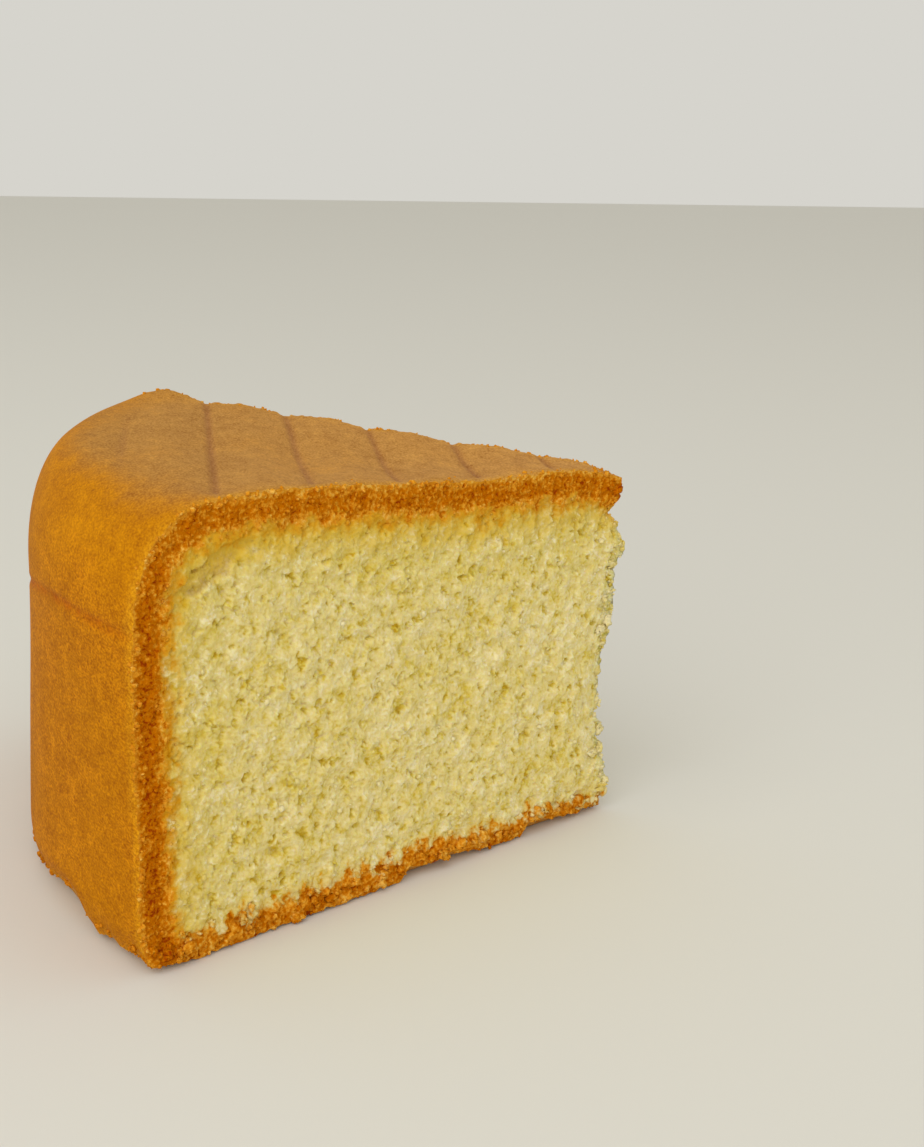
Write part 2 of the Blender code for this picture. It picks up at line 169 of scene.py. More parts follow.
def crust_profile(length, turn):
    """Radius and height at a length along the crust."""
    rim = rim_radius(turn)
    angle = np.clip((length - rim) / SHOULDER_LENGTH, 0.0, 1.0) * math.pi / 2
    power = 2.0 / SHOULDER_POWER
    shoulder = rim + shoulder_run(turn) * np.sin(angle) ** power
    foot = RIM_HEIGHT - SHOULDER_DROP
    bend = foot + (SHOULDER_DROP + edge_rise(shoulder, turn)) * np.maximum(np.cos(angle), 0.0) ** power
    height = np.maximum(foot - (length - rim - SHOULDER_LENGTH), 0.0)
    flare = SIDE_FLARE * smooth(turn / GAIN_SHARE) * (1.0 - height / foot)
    tuck = BASE_TUCK * np.maximum(1.0 - height / TUCK_HEIGHT, 0.0) ** 2
    zones = [length <= rim, length <= rim + SHOULDER_LENGTH]
    radius = np.select(zones, [length, shoulder], shoulder + flare - tuck)
    return radius, np.select(zones, [top_height(length, turn), bend], height)


print("the crust runs", round(float(crust_length(FRONT))), "mm from the tip to the base")

# %% [markdown]
# ## Marks in the skin
#
# Straight shallow grooves are pressed into the top, with soft pillows between them, and a crease
# runs round the side where it has shrunk back. Both are small moves of the surface along its own
# normal. That keeps them in place on a form that is dished and rounded, which modelling them by
# hand or cutting them with a Boolean would not.

# %% Grooves, pillows, crease and a slow unevenness
GROOVE_TURN = math.radians(-2.3)
GROOVE_COUNT = 6
FIRST_GROOVE = 13.0
GROOVE_PITCH = 14.9
GROOVE_HALF_WIDTH = 1.3
GROOVE_DEPTH = 0.4
PILLOW_HEIGHT = 0.3
GROOVE_FADE_START = 82.0
GROOVE_FADE_RUN = 12.0
MARKS_AT_CUT = 0.3
MARKS_CUT_RUN = 6.0

CREASE_HEIGHT = 53.8
CREASE_WAVE = 0.5
CREASE_WAVES = 5.0
CREASE_WAVE_START = 1.0
CREASE_FALL = 5.0
CREASE_FALL_START = 0.2
CREASE_FALL_RUN = 0.4
CREASE_HALF_WIDTH = 1.3
CREASE_DEPTH = 0.3

CRUST_WOBBLE = 0.35
CRUST_WOBBLE_SIZE = 26.0
WOBBLE_SEED = 7.0

EDGE_CHIP = 0.55
EDGE_CHIP_SIZE = 1.2
EDGE_CHIP_REACH = 0.5
MEAN_EDGE_CHIP = 0.35


def rough(points, size, seed):
    """Soft noise of about one at each point, with bumps of the given size."""
    shifted = np.asarray(points) / size + (seed, 0.0, 0.0)
    return np.array([noise.noise(place) for place in shifted.tolist()])


def hill(off, half_width):
    """A round hill from 0 at its foot to 1 in its middle."""
    return np.cos(math.pi / 2 * np.minimum(np.abs(off) / half_width, 1.0)) ** 2


def groove_marks(points, radius, turn):
    """Where the grooves and the pillows are."""
    ahead = TIP - points
    across = ahead[:, 0] * math.cos(GROOVE_TURN) + ahead[:, 1] * math.sin(GROOVE_TURN)
    across -= FIRST_GROOVE
    nearest = np.clip(np.round(across / GROOVE_PITCH), 0, GROOVE_COUNT - 1)
    fade = 1.0 - smooth((radius - GROOVE_FADE_START) / GROOVE_FADE_RUN)
    fade *= MARKS_AT_CUT + (1.0 - MARKS_AT_CUT) * smooth(turn * WEDGE_ANGLE * radius / MARKS_CUT_RUN)
    groove = fade * hill(across - nearest * GROOVE_PITCH, GROOVE_HALF_WIDTH)
    return groove, -fade * np.cos(2 * math.pi * across / GROOVE_PITCH)


def crease_mark(height, turn):
    fall = CREASE_FALL * smooth((turn - CREASE_FALL_START) / CREASE_FALL_RUN)
    wave = CREASE_WAVE * np.sin(CREASE_WAVES * turn + CREASE_WAVE_START)
    middle = CREASE_HEIGHT + wave - fall
    return hill(height - middle, CREASE_HALF_WIDTH)


# %% [markdown]
# ## What is torn
#
# A sponge tears as it is cut. The thin tip edge loses crumbs in some places and keeps them in
# others, and the base edge is chipped. Measured heights joined by straight lines give the tears
# their form, and fine noise on top of them frays the edge.

# %% Torn tip edge and base edge
TIP_TEAR = ((0.0, 0.4), (6.0, -0.7), (14.3, 1.2), (22.3, 1.9), (32.3, 1.4), (39.3, -0.4),
            (47.0, -0.4), (51.5, -2.3), (57.8, 0.8), (60.2, -0.4), (64.0, -1.0))
TIP_TEAR_REACH = 10.0
TIP_FRAY = 0.9
TIP_FRAY_SIZE = 2.6
TIP_FRAY_REACH = 5.0
FINE_FRAY = 0.6
FINE_FRAY_SIZE = 0.4 * TIP_FRAY_SIZE
FRAY_SEED = 40.0

FRONT_BASE_EDGE = ((0.0, 1.3), (7.0, 0.8), (15.0, 2.1), (19.7, 2.4), (21.7, 0.2), (31.7, 0.9),
                   (39.0, 2.0), (43.8, 1.6), (48.4, 2.5), (50.6, 0.3), (60.0, 0.2), (68.0, 0.5),
                   (84.0, 0.3), (92.0, 0.2), (96.0, 0.7), (101.0, 1.4))
SIDE_BASE_EDGE = ((0.0, 1.4), (0.03, 2.2), (0.08, 1.5), (0.1, 2.3), (0.14, 0.9), (0.17, 2.0),
                  (0.19, 4.6), (0.22, 5.6), (0.27, 4.5), (0.34, 2.4), (0.42, 0.0))
CHIP_HEIGHT = 1.7
MEAN_CHIP = 0.5
LEAST_CHIP = 0.15
CHIP_SIZE = 6.5
CHIP_REACH = 9.0
CHIP_START = 0.26
CHIP_RUN = 0.16
CHIP_SEED = 3.0
BASE_FRAY = 0.7
BASE_FRAY_SIZE = 1.5
LEAST_BASE_FRAY = -0.1


def base_edge_height(points, turn, radius):
    """Height of the torn base edge over the base."""
    flat = points * (1.0, 1.0, 0.0)
    chip = CHIP_HEIGHT * (MEAN_CHIP + rough(flat, CHIP_SIZE, CHIP_SEED))
    chip = np.maximum(chip, LEAST_CHIP) * smooth((turn - CHIP_START) / CHIP_RUN)
    side = np.interp(turn, *zip(*SIDE_BASE_EDGE)) + chip
    front = np.interp(radius, *zip(*FRONT_BASE_EDGE))
    fray = np.maximum(BASE_FRAY * rough(flat, BASE_FRAY_SIZE, CHIP_SEED), LEAST_BASE_FRAY)
    return np.where(turn == FRONT, front, side) + fray


def lift_at_base(points, turn, radius):
    """Raises what is near the base by the height of its torn edge."""
    near = np.maximum(1.0 - points[:, 2] / CHIP_REACH, 0.0)
    points[:, 2] += near * base_edge_height(points, turn, radius)
    return points


def tip_shift(radius, height):
    """How far the torn tip edge moves its neighbourhood."""
    near = np.maximum(1.0 - radius / TIP_TEAR_REACH, 0.0) ** 2
    tear = np.column_stack([-near * np.interp(height, *zip(*TIP_TEAR)), 0.0 * near, 0.0 * near])
    near = np.maximum(1.0 - radius / TIP_FRAY_REACH, 0.0) ** 2
    near *= smooth((top_height(0.0, FRONT) - height) / TIP_FRAY_SIZE)
    places = np.column_stack([0.0 * height, 0.0 * height, height])
    for axis in (0, 1):
        fray = rough(places, TIP_FRAY_SIZE, FRAY_SEED + axis)
        fray += FINE_FRAY * rough(places, FINE_FRAY_SIZE, axis)
        tear[:, axis] += TIP_FRAY * near * fray
    return tear


# %% [markdown]
# ## Where a point of the skin or of a cut lies
#
# Two functions turn flat coordinates into places in the room. The skin's are the length along the
# crust and the turn, and a cut's are the radius and the height.

# %% Places on the skin and on the cuts
CRUMB_RELIEF = 0.5
CRUMB_CLUMP_SIZE = 7.5
CRUMB_GRAIN_SIZE = 2.5
CRUMB_EDGE_BLEND = 4.0
CUT_WAVE = 0.3
CUT_WAVE_SIZE = 17.0
WAVE_SEED = 11.0
CLUMP_SEED = 17.0
GRAIN_SEED = 23.0
BACK_CUT_SEED = 30.0


def side_share(length, turn):
    """0 on the top and 1 on the side."""
    return smooth((length - rim_radius(turn)) / SHOULDER_LENGTH)


def skin_normal(length, turn):
    share = side_share(length, turn)[:, None]
    return outward(turn) * share + np.array((0.0, 0.0, 1.0)) * (1.0 - share)


def skin_place(length, turn):
    """Places on the skin before anything is torn, with their radius, height and marks."""
    radius, height = crust_profile(length, turn)
    points = TIP + outward(turn) * radius[:, None]
    points[:, 2] += height
    share = side_share(length, turn)
    groove, pillow = (mark * (1.0 - share) for mark in groove_marks(points, radius, turn))
    crease = crease_mark(height, turn) * (share > 0.5)
    wobble = CRUST_WOBBLE * rough(points, CRUST_WOBBLE_SIZE, WOBBLE_SEED)
    rise = wobble * np.minimum(height / CHIP_REACH, 1.0)
    to_cut = np.minimum(turn, 1.0 - turn) * WEDGE_ANGLE * radius
    chip = np.maximum(MEAN_EDGE_CHIP + rough(points, EDGE_CHIP_SIZE, CHIP_SEED), 0.0)
    rise -= EDGE_CHIP * chip * np.exp(-to_cut / EDGE_CHIP_REACH) * smooth(radius / TIP_TEAR_REACH)
    rise += PILLOW_HEIGHT * pillow - GROOVE_DEPTH * groove - CREASE_DEPTH * crease
    return points + skin_normal(length, turn) * rise[:, None], radius, height, groove, crease


def cut_normal(turn):
    """Away from the sponge, square to a cut."""
    x, y, _ = outward(turn)
    return np.array((-y, x, 0.0)) if turn == FRONT else np.array((y, -x, 0.0))


def cut_frame(radius, height, turn):
    """Points on the flat of a cut, and the same laid out for noise."""
    points = TIP + outward(turn) * np.asarray(radius)[:, None]
    points[:, 2] += height
    return points, np.column_stack([radius, 0.0 * radius + BACK_CUT_SEED * turn, height])


def cut_wave(radius, height, turn):
    """The knife's slow wander."""
    _, laid = cut_frame(radius, height, turn)
    wave = CUT_WAVE * rough(laid, CUT_WAVE_SIZE, WAVE_SEED)
    return wave * smooth(radius / TIP_TEAR_REACH)


def cut_place(radius, height, turn, to_edge):
    """Places on a cut, with soft clumps that fade out at its edge."""
    points, laid = cut_frame(radius, height, turn)
    clumps = rough(laid, CRUMB_CLUMP_SIZE, CLUMP_SEED) + rough(laid, CRUMB_GRAIN_SIZE, GRAIN_SEED)
    relief = CRUMB_RELIEF * clumps * smooth(to_edge / CRUMB_EDGE_BLEND)
    points += cut_normal(turn) * (relief + cut_wave(radius, height, turn))[:, None]
    return lift_at_base(points + tip_shift(radius, height), np.full(len(radius), turn), radius)


print("the cuts face", np.round(cut_normal(FRONT), 2), "and", np.round(cut_normal(BACK), 2))

# %% [markdown]
# ## Closed leaves
#
# Skin, crumb and base are sheets whose outer face has to be very fine and whose inner face nobody
# sees. So each is a closed leaf: a fine face and a coarse one that share one rim, thin at the rim
# and a few millimetres thick inside, where light can sink in as it does in real sponge. A Delaunay
# filling of scattered points makes both faces. A grid would be easier, but its rows would show.

# %% Scatter points in an outline and fill it with triangles
NUDGE = 0.3


def nearest(points, others):
    """Which of the others is nearest to each flat point, and how far it is."""
    tree = kdtree.KDTree(len(others))
    for index, other in enumerate(others.tolist()):
        tree.insert((other[0], other[1], 0.0), index)
    tree.balance()
    found = [tree.find((x, y, 0.0))[1:] for x, y in points.tolist()]
    return np.array([which for which, _ in found]), np.array([far for _, far in found])


def inside(points, outline):
    """Which flat points an outline holds."""
    held = np.zeros(len(points), dtype=bool)
    for start, end in zip(outline, np.roll(outline, -1, axis=0)):
        if start[1] != end[1]:
            spans = (start[1] > points[:, 1]) != (end[1] > points[:, 1])
            share = (points[:, 1] - start[1]) / (end[1] - start[1])
            held ^= spans & (points[:, 0] < start[0] + share * (end[0] - start[0]))
    return held


def scatter(outline, step, seed):
    """Staggered rows of points inside an outline, each nudged off its place."""
    random = np.random.default_rng(seed)
    least, most = outline.min(axis=0), outline.max(axis=0)
    rows = np.arange(least[1], most[1], step * math.sin(math.pi / 3))
    x, y = np.meshgrid(np.arange(least[0] - step, most[0] + step, step), rows)
    x[1::2] += 0.5 * step
    points = np.column_stack([x.ravel(), y.ravel()])
    points += random.uniform(-NUDGE, NUDGE, points.shape) * step
    return clear_of(points[inside(points, outline)], outline, 0.5 * step)


def clear_of(points, outline, least):
    return points[nearest(points, outline)[1] > least]


def fill(flat, count):
    """Triangles between an outline of so many points and the points inside it."""
    sides = [(index, (index + 1) % count) for index in range(count)]
    _, _, faces, sources, _, _ = delaunay_2d_cdt([Vector(p) for p in flat], sides, [], 1, 1e-6)
    return np.array([source[0] for source in sources])[np.array(faces)]


# %% [markdown]
# Each point of a leaf carries named values, such as how far it is from the edge, which the relief
# and the colours read later. The rim is marked sharp, or the two faces would be shaded as one.

# %% Join a fine and a coarse face into a closed leaf
HIDDEN = "hidden"
EDGE = "edge"
SCATTER = "crumbs"
CLUMPS = "clumps"


def make_mesh(name, points, faces, values, rim):
    """A mesh object from arrays, with its values as attributes and its first points as a sharp rim."""
    mesh = bpy.data.meshes.new(name)
    mesh.from_pydata(np.clip(points, low, high) * MM, [], faces.tolist())
    for key, numbers in values.items():
        mesh.attributes.new(key, "FLOAT", "POINT").data.foreach_set("value", numbers)
    bm = bmesh.new()
    bm.from_mesh(mesh)
    bmesh.ops.recalc_face_normals(bm, faces=bm.faces)
    bm.to_mesh(mesh)
    bm.free()
    mesh.shade_smooth()
    ends = np.empty(2 * len(mesh.edges), dtype=np.int32)
    mesh.edges.foreach_get("vertices", ends)
    mesh.edges.foreach_set("use_edge_sharp", (ends.reshape(-1, 2) < rim).all(axis=1))
    piece = bpy.data.objects.new(name, mesh)
    scene.collection.objects.link(piece)
    print(name, "has", len(mesh.polygons), "triangles")
    return piece


def leaf(name, outline, fine, coarse, place, thickness):
    """A closed leaf. place gives flat points their places, ways inward and named values."""
    count = len(outline)
    flat = np.vstack([outline, fine, coarse])
    to_edge = nearest(flat, outline)[1]
    hidden = np.arange(len(flat)) >= count + len(fine)
    points, inward, values = place(flat, to_edge)
    points[hidden] += (inward * thickness(flat, to_edge)[:, None])[hidden]
    front = fill(np.vstack([outline, fine]), count)
    back = fill(np.vstack([outline, coarse]), count)
    back = np.where(back >= count, back + len(fine), back)[:, ::-1]
    values = dict(values, **{EDGE: to_edge, HIDDEN: hidden.astype(float)})
    for key in (SCATTER, CLUMPS):
        values[key] = np.where(hidden, 0.0, values[key])
    return make_mesh(name, points, np.vstack([front, back]), values, count)


# %% [markdown]
# ## The browned skin
#
# The skin is laid out flat as a fan whose radius is the length along the crust. Its two straight
# sides are the cuts and its arc is the foot. On the top the fan is true to scale, and on the side
# it is stretched, so the side gets its own rows of points.

# %% Skin
SKIN_STEP = 0.5
EDGE_STEP = 0.4
COARSE_STEP = 5.0
SKIN_THICKNESS = 2.5


def fan(length, turn):
    """Flat places of the unrolled skin."""
    return outward(turn)[..., :2] * np.asarray(length)[..., None]


def unfan(flat):
    """Length and turn of flat places."""
    turn = 0.5 - np.arctan2(-flat[:, 1], -flat[:, 0]) / WEDGE_ANGLE
    turn = np.where(turn < 1e-6, FRONT, np.where(turn > 1.0 - 1e-6, BACK, turn))
    return np.hypot(flat[:, 0], flat[:, 1]), turn


def skin_edge(turn):
    """Lengths along the edge that skin and cut share."""
    return np.linspace(0.0, crust_length(turn), int(crust_length(turn) / EDGE_STEP))


def skin_outline(step):
    turns = np.linspace(0.0, 1.0, int(SIDE_RADIUS * WEDGE_ANGLE / step))[1:-1]
    front, back = (fan(skin_edge(turn), 0.0 * skin_edge(turn) + turn) for turn in (FRONT, BACK))
    return np.vstack([front, fan(crust_length(turns), turns), back[:0:-1]])


def skin_points(outline, step, seed):
    """Even points all over the skin: rows on the top, and rows round the shoulder and side."""
    top = scatter(outline, step, seed)
    length, turn = unfan(top)
    top = top[length < rim_radius(turn) - 0.5 * step]
    random = np.random.default_rng(seed)
    rows = int((SHOULDER_LENGTH + RIM_HEIGHT - SHOULDER_DROP) / (step * math.sin(math.pi / 3)))
    columns = int(SIDE_RADIUS * WEDGE_ANGLE / step)
    column, row = (grid.ravel() for grid in np.meshgrid(np.arange(columns), np.arange(rows)))
    nudge = random.uniform(-NUDGE, NUDGE, (2, len(row)))
    share = (row + 0.5 + nudge[0]) / rows
    turn = (column + 0.25 + 0.5 * (row % 2) + nudge[1]) / columns
    rim = rim_radius(turn)
    side = fan(rim + (crust_length(turn) - rim) * share, turn)
    return np.vstack([top, clear_of(side[inside(side, outline)], outline, 0.5 * step)])


GOLD_START = 10.0
CREASE_AT_CUT = 0.25
CREASE_CUT_RUN = 12.0
GROOVE_POWER = 1.5
CREASE_POWER = 0.7
EDGE_CRUMB_REACH = 0.5
FOOT_CLUMPS = 0.25
FOOT_CLUMP_SPAN = (0.7, 2.4)


def place_skin(flat, to_edge):
    """Places on the finished skin, ways inward, and the values that its finish reads."""
    length, turn = unfan(flat)
    points, radius, height, groove, crease = skin_place(length, turn)
    for side in (FRONT, BACK):
        near = turn == side
        points[near] += cut_normal(side) * cut_wave(radius[near], height[near], side)[:, None]
    points = lift_at_base(points + tip_shift(radius, height), turn, radius)
    share = smooth((length - rim_radius(turn) + GOLD_START) / (SHOULDER_LENGTH + GOLD_START))
    crease *= CREASE_AT_CUT + (1.0 - CREASE_AT_CUT) * smooth(turn * WEDGE_ANGLE * radius / CREASE_CUT_RUN)
    at_foot = (height > FOOT_CLUMP_SPAN[0]) & (height < FOOT_CLUMP_SPAN[1])
    values = {"groove": groove ** GROOVE_POWER, "crease": crease ** CREASE_POWER, "side": share,
              "height": height, SCATTER: np.exp(-to_edge / EDGE_CRUMB_REACH), CLUMPS: FOOT_CLUMPS * at_foot}
    return points, -skin_normal(length, turn), values


outline = skin_outline(SKIN_STEP)
skin = leaf("browned_skin", outline, skin_points(outline, SKIN_STEP, 1),
            skin_points(outline, COARSE_STEP, 2), place_skin,
            lambda flat, to_edge: np.minimum(to_edge, SKIN_THICKNESS))

# %% [markdown]
# ## The two cut faces
#
# Each cut is a leaf of crumb. Its outline is the skin's own edge, point for point, with the tip
# edge and the base edge, so no gap can open between the two leaves.

# %% Cut faces
CRUMB_STEP = 0.292
CRUMB_THICKNESS = 12.0
RIM_SLOPE = 2.0
TIP_SLOPE = 0.8
FLAP_PLACE = (89.0, 61.5)
FLAP_RUN = 7.0
FLAP_HALF_HEIGHT = 2.3
FLAP_SLOPE = 0.5
FLAP_DEPTH = 0.7
FLAP_REACH = 1.15
FLAP_BLEND = 0.4
FLAP_RAGGED = 0.5
FLAP_RAGGED_SIZE = 2.2

UNDER_SKIN = 1.0
NEAR_FOOT = 3.0
IN_RIM = 6.0
CRUMB_SHARES = (1.3, 0.6, 0.5)
CRUMBS_ELSEWHERE = 0.06
CRUMBS_AT_TIP = 2.0
CLUMPS_AT_TIP = 0.15
TIP_CRUMB_REACH = 1.5
CLUMP_HEIGHTS = (0.9, 2.8, 5.5)
CLUMP_SHARES = (0.0, 0.35, 0.12)


def torn_flap(radius, height, turn):
    """1 in the shallow hollow where a flap of crumb tore out of the front cut's corner."""
    along = (radius - FLAP_PLACE[0]) / FLAP_RUN
    across = height - FLAP_PLACE[1] + FLAP_SLOPE * (radius - FLAP_PLACE[0])
    laid = np.column_stack([radius, 0.0 * radius, height])
    far = np.hypot(along, across / FLAP_HALF_HEIGHT)
    far += FLAP_RAGGED * rough(laid, FLAP_RAGGED_SIZE, CLUMP_SEED)
    return (turn == FRONT) * smooth((FLAP_REACH - far) / FLAP_BLEND)


def cut_outline(turn, step):
    """The outline of a cut as radius and height, and the part of it that is skin."""
    length = skin_edge(turn)
    points = skin_place(length, np.full(len(length), turn))[0]
    crust = np.column_stack([(points - TIP) @ outward(turn), points[:, 2]])
    crust[0, 0] = crust[-1, 1] = 0.0
    top, foot = crust[0, 1], crust[-1, 0]
    tip_edge = np.linspace(0.0, top, int(top / step))[:-1]
    base_edge = np.linspace(foot, 0.0, int(foot / step))[1:-1]
    tip_edge = np.column_stack([0.0 * tip_edge, tip_edge])
    base_edge = np.column_stack([base_edge, 0.0 * base_edge])
    return np.vstack([tip_edge, crust, base_edge]), crust


def make_cut(name, turn):
    """A leaf of crumb, which knows where loose crumbs and clumps lie thick on it."""
    outline, crust = cut_outline(turn, CRUMB_STEP)

    def place(flat, to_edge):
        points = cut_place(flat[:, 0], flat[:, 1], turn, to_edge)
        _, depth = nearest(flat, crust)
        height = flat[:, 1]
        flap = torn_flap(flat[:, 0], height, turn)
        points -= cut_normal(turn) * (FLAP_DEPTH * flap)[:, None]
        zones = [depth < UNDER_SKIN, height < NEAR_FOOT, depth < IN_RIM]
        strewn = np.select(zones, CRUMB_SHARES, CRUMBS_ELSEWHERE)
        tip = np.exp(-flat[:, 0] / TIP_CRUMB_REACH) * smooth(depth / IN_RIM)
        clumps = np.select([height < most for most in CLUMP_HEIGHTS], CLUMP_SHARES, 0.0)
        values = {"depth": depth, "height": height, "flap": flap, SCATTER: strewn + CRUMBS_AT_TIP * tip,
                  CLUMPS: np.maximum(clumps, CLUMPS_AT_TIP * tip)}
        return points, np.tile(-cut_normal(turn), (len(flat), 1)), values

    def thickness(flat, to_edge):
        return np.minimum(np.minimum(RIM_SLOPE * to_edge, TIP_SLOPE * flat[:, 0]), CRUMB_THICKNESS)

    fine, coarse = scatter(outline, CRUMB_STEP, 3), scatter(outline, COARSE_STEP, 4)
    return leaf(name, outline, fine, coarse, place, thickness)


front_crumb = make_cut("front_crumb", FRONT)
back_crumb = make_cut("back_crumb", BACK)

# %% [markdown]
# ## The base
#
# The base is baked against a tin, so it is flat and browned. Only its torn edge shows, but a part
# is looked at from all sides. It shares its edge with the skin and with both cuts.

# %% Base
BASE_STEP = 0.9
BASE_THICKNESS = 3.0
BASE_RIM_WIDTH = 3.0
BASE_RIM_SLOPE = 0.7
BASE_RELIEF = 0.25
BASE_RELIEF_SIZE = 4.0


def base_outline(step):
    """The finished edge of the base, as points in the room."""
    edges = []
    for turn in (FRONT, BACK):
        foot = float(crust_profile(crust_length(turn), turn)[0])
        radius = np.linspace(0.0, foot, int(foot / step))
        edges.append(cut_place(radius, 0.0 * radius, turn, 0.0 * radius))
    turns = np.linspace(0.0, 1.0, int(SIDE_RADIUS * WEDGE_ANGLE / step))[1:-1]
    points, radius, _, _, _ = skin_place(crust_length(turns), turns)
    arc = lift_at_base(points, turns, radius)
    return np.vstack([edges[0], arc, edges[1][:0:-1]])


def make_base():
    edge = base_outline(CRUMB_STEP)

    def place(flat, to_edge):
        which, _ = nearest(flat, edge[:, :2])
        relief = BASE_RELIEF * rough(np.column_stack([flat, 0.0 * to_edge]), BASE_RELIEF_SIZE, CHIP_SEED)
        share = smooth(to_edge / BASE_RIM_WIDTH)
        height = edge[which, 2] * (1.0 - share) + np.maximum(relief, 0.0) * share
        up = np.tile((0.0, 0.0, 1.0), (len(flat), 1))
        values = {SCATTER: 0.0 * to_edge, CLUMPS: 0.0 * to_edge}
        return np.column_stack([flat, height]), up, values

    outline = edge[:, :2]
    return leaf("baked_base", outline, scatter(outline, BASE_STEP, 5), scatter(outline, COARSE_STEP, 6),
                place, lambda flat, to_edge: np.minimum(BASE_RIM_SLOPE * to_edge, BASE_THICKNESS))


base = make_base()

# %% [markdown]
# ## Helpers for node trees
#
# Geometry Nodes and materials are both trees of nodes. One small function adds a node with its
# settings, and either gives an input a value or links it to another node's output. The rest call it
# for what is needed most: arithmetic, weighted sums, mapped spans, coats of paint and noise.

# %% Add nodes, and turn hex colours to linear light


def feed(tree, node, inputs):
    """Gives a node's inputs their values, or links them to the outputs of other nodes."""
    for name, value in dict(inputs).items():
        if isinstance(value, bpy.types.NodeSocket):
            tree.links.new(value, node.inputs[name])
        else:
            node.inputs[name].default_value = value


def add(tree, kind, inputs=(), out=0, **settings):
    """Adds a node with its settings, links and values, and returns one of its outputs."""
    node = tree.nodes.new(kind)
    for name, value in settings.items():
        setattr(node, name, value)
    feed(tree, node, inputs)
    return node.outputs[out]


def maths(tree, operation, *values):
    """One step of arithmetic with numbers or outputs."""
    return add(tree, "ShaderNodeMath", dict(enumerate(values)), operation=operation)


def times(tree, first, second):
    """A product of numbers or outputs."""
    return maths(tree, "MULTIPLY", first, second)


def weigh(tree, start, parts):
    """A start value plus every output times its weight."""
    for output, weight in parts:
        start = maths(tree, "MULTIPLY_ADD", output, weight, start)
    return start


def span(tree, value, start, end, least=0.0, most=1.0, kind="LINEAR"):
    """Maps what lies between start and end to between least and most, and goes no further."""
    return add(tree, "ShaderNodeMapRange", {"Value": value, 1: start, 2: end, 3: least, 4: most},
               interpolation_type=kind)


def cover(tree, share, below, above, kind="MIX"):
    """A share of one colour over another."""
    return add(tree, "ShaderNodeMix", {0: share, 6: below, 7: above}, out=2, data_type="RGBA",
               blend_type=kind)


def scaled(tree, vector, factor):
    return add(tree, "ShaderNodeVectorMath", {0: vector, "Scale": factor}, operation="SCALE")


def noise_of(tree, place, scale, detail=2.0, roughness=0.5, out=0):
    """Soft noise with so many bumps for each unit of place."""
    return add(tree, "ShaderNodeTexNoise",
               {"Vector": place, "Scale": scale, "Detail": detail, "Roughness": roughness}, out=out)


def wander(tree, place, scale):
    """A smooth random vector around zero."""
    colour = noise_of(tree, place, scale, detail=3.0, out="Color")
    return add(tree, "ShaderNodeVectorMath", {0: colour, 1: (0.5, 0.5, 0.5)}, operation="SUBTRACT")


def linear(code):
    """An sRGB hex colour as linear light."""
    parts = [int(code[place:place + 2], 16) / 255 for place in (1, 3, 5)]
    return [part / 12.92 if part <= 0.04045 else ((part + 0.055) / 1.055) ** 2.4 for part in parts] + [1.0]


print("the middle grey #808080 is", round(linear("#808080")[0], 2), "of full light")

# %% [markdown]
# ## Crumb by Geometry Nodes
#
# Cut sponge is a mass of soft lumps two or three millimetres across, each made of finer crumbs,
# with small ragged hollows between them. Lumps, grains and hollows all follow rules, so a node tree
# makes them: a noise with finer copies of itself gives the lumps, a Voronoi texture the grains, and a
# second noise opens hollows where it is low. The tree moves the points along the cut's normal, less
# near the edge, and stores how high each lies, which the finish uses for its colours: painted shade
# low down and painted light high up. In the toasted rim the lumps are low and the grains coarse, and
# near the base the lumps are high.

# %% The tree that raises the crumb
LUMPS = {"Lump size": 3.2, "Lump height": 0.72, "Grain size": 0.7, "Grain height": 0.32,
         "Hollow size": 1.7, "Hollow depth": 0.55, "Rim depth": 6.0, "Foot height": 5.0}
RIM_BLEND = 1.5
RIM_LUMPS = 0.4
RIM_GRAINS = 1.6
FOOT_BLEND_END = 1.0
FOOT_LUMPS = 0.8
EDGE_FADE = 0.8
BENDS_PER_MM = 0.7
BEND_REACH = (2.4, 2.4, 2.4)
MEAN_RELIEF = 0.45


def new_tree(name, sizes):
    """An empty tree with named inputs and one geometry through it."""
    tree = bpy.data.node_groups.new(name, "GeometryNodeTree")
    tree.interface.new_socket("Geometry", in_out="INPUT", socket_type="NodeSocketGeometry")
    for label, value in sizes.items():
        kind = {int: "Int", float: "Float", tuple: "Vector", str: "String"}.get(type(value), "Material")
        tree.interface.new_socket(label, in_out="INPUT", socket_type="NodeSocket" + kind)
    tree.interface.new_socket("Geometry", in_out="OUTPUT", socket_type="NodeSocketGeometry")
    return tree, tree.nodes.new("NodeGroupInput").outputs


def run_tree(piece, tree, sizes, name=None):
    """Runs a tree on a piece as a plain mesh: in the piece itself, or as a new piece with a name."""
    modifier = piece.modifiers.new(tree.name, "NODES")
    modifier.node_group = tree
    for socket in tree.interface.items_tree:
        if socket.name in sizes:
            modifier[socket.identifier] = sizes[socket.name]
    made = piece.evaluated_get(bpy.context.evaluated_depsgraph_get())
    mesh = bpy.data.meshes.new_from_object(made)
    piece.modifiers.remove(modifier)
    places = np.empty(len(mesh.vertices) * 3, np.float32)
    mesh.vertices.foreach_get("co", places)
    places = np.clip(places.reshape(-1, 3), low * MM, high * MM)
    mesh.vertices.foreach_set("co", places.ravel())
    mesh.update()
    if name:
        piece = bpy.data.objects.new(name, mesh)
        scene.collection.objects.link(piece)
    piece.data = mesh
    piece.data.name = piece.name
    print(tree.name, "on", piece.name, "gives", len(mesh.polygons), "faces")
    return piece


